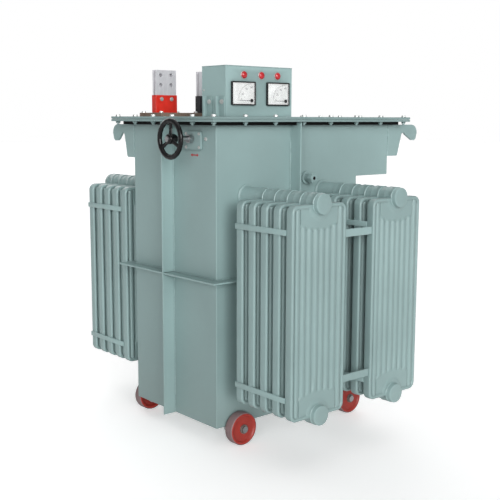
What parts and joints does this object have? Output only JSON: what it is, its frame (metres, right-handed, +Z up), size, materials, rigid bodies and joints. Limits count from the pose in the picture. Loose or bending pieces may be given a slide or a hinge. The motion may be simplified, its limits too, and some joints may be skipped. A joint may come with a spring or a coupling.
{
  "type": "oil-cooled variable voltage rectifier",
  "caption": "Floor-standing oil-filled regulator tank with side radiators, wheels, a handwheel drive, meter box and flag busbars on its lid.",
  "frame": {"origin": "on the floor under the middle of the whole unit", "axes": "+Z up, +X across the handwheel end towards the meter side, +Y from the handwheel end to the far end"},
  "size_m": [1.4766, 1.369, 1.5566],
  "materials": {
    "tank_paint": "satin grey-green enamel",
    "black_paint": "black enamel",
    "rubber": "matt",
    "handwheel_black": "gloss black",
    "steel": "machined",
    "wheel_red": "worn red enamel",
    "busbar_metal": "brushed",
    "red_sleeve": "shrink sleeve",
    "black_sleeve": "shrink sleeve",
    "board": "laminated board",
    "copper": "enamelled copper winding",
    "core_iron": "laminated core",
    "insulator": "moulded",
    "meter_black": "moulded",
    "meter_glass": "clear",
    "lamp_lens": "red lens"
  },
  "bodies": {
    "tank": {"axle_left_back": "steel", "axle_left_front": "steel", "axle_right_back": "steel", "axle_right_front": "steel", "box_cleat_1": "tank_paint", "box_cleat_2": "tank_paint", "busbar_black": "busbar_metal", "busbar_red": "busbar_metal", "control_box": "tank_paint", "control_box_cover": "tank_paint", "drive_chain": "steel", "front_rib": "tank_paint", "gland_nut": "steel", "gland_plate": "tank_paint", "hook_left": "tank_paint", "hook_right": "tank_paint", "lamp_1": "lamp_lens", "lamp_2": "lamp_lens", "lamp_3": "lamp_lens", "left_rib": "tank_paint", "lid": "tank_paint", "meter_case_1": "meter_black", "meter_case_2": "meter_black", "meter_glass_1": "meter_glass", "meter_glass_2": "meter_glass", "mid_stiffener": "tank_paint", "oil_stub": "tank_paint", "radiator_left_back": "tank_paint", "radiator_left_front": "tank_paint", "radiator_right_back": "tank_paint", "radiator_right_front": "tank_paint", "right_rib": "tank_paint", "rim_bar": "black_paint", "rim_gasket": "rubber", "sleeve_black": "black_sleeve", "sleeve_red": "red_sleeve", "tank_rim": "tank_paint", "tank_shell": "tank_paint", "terminal_board": "board", "tie_bar_lower": "tank_paint", "tie_bar_upper": "tank_paint", "transformer_core": "core_iron", "transformer_winding": "copper", "variac_coil_1": "copper", "variac_coil_2": "copper", "variac_coil_3": "copper"},
    "handwheel": {"handwheel": "handwheel_black", "handwheel_shaft": "steel", "drive_sprocket": "steel"},
    "brush_gear": {"brush_shaft": "steel", "driven_sprocket": "steel", "brush_arm_1": "insulator", "brush_arm_2": "insulator", "brush_arm_3": "insulator"},
    "wheel_right_front": {"wheel_right_front": "wheel_red"},
    "wheel_right_back": {"wheel_right_back": "wheel_red"},
    "wheel_left_front": {"wheel_left_front": "wheel_red"},
    "wheel_left_back": {"wheel_left_back": "wheel_red"},
    "needle_1": {"meter_pointer_1": "meter_black"},
    "needle_2": {"meter_pointer_2": "meter_black"}
  },
  "joints": [
    {"name": "handwheel_turn", "type": "hinge", "parent": "tank", "child": "handwheel", "pos_m": [0.144, -0.6665, 1.267], "axis": [0, -1, 0], "range_deg": [0, 1280]},
    {"name": "brush_turn", "type": "hinge", "parent": "tank", "child": "brush_gear", "pos_m": [0, -0.4955, 0.91], "axis": [0, -1, 0], "range_deg": [0, 320]},
    {"name": "wheel_right_front_roll", "type": "hinge", "parent": "tank", "child": "wheel_right_front", "pos_m": [0.317, -0.4435, 0.069], "axis": [1, 0, 0], "continuous": true},
    {"name": "wheel_right_back_roll", "type": "hinge", "parent": "tank", "child": "wheel_right_back", "pos_m": [0.317, 0.1995, 0.069], "axis": [1, 0, 0], "continuous": true},
    {"name": "wheel_left_front_roll", "type": "hinge", "parent": "tank", "child": "wheel_left_front", "pos_m": [-0.317, -0.4685, 0.069], "axis": [1, 0, 0], "continuous": true},
    {"name": "wheel_left_back_roll", "type": "hinge", "parent": "tank", "child": "wheel_left_back", "pos_m": [-0.317, 0.1995, 0.069], "axis": [1, 0, 0], "continuous": true},
    {"name": "needle_1_swing", "type": "hinge", "parent": "tank", "child": "needle_1", "pos_m": [0.2968, -0.3735, 1.4196], "axis": [-1, 0, 0], "range_deg": [0, 90], "stiffness_Nm_per_rad": 0.01},
    {"name": "needle_2_swing", "type": "hinge", "parent": "tank", "child": "needle_2", "pos_m": [0.2968, -0.1875, 1.4196], "axis": [-1, 0, 0], "range_deg": [0, 90], "stiffness_Nm_per_rad": 0.01}
  ],
  "couplings": [
    {"joint": "brush_turn", "follows": "handwheel_turn", "ratio": 0.25}
  ]
}
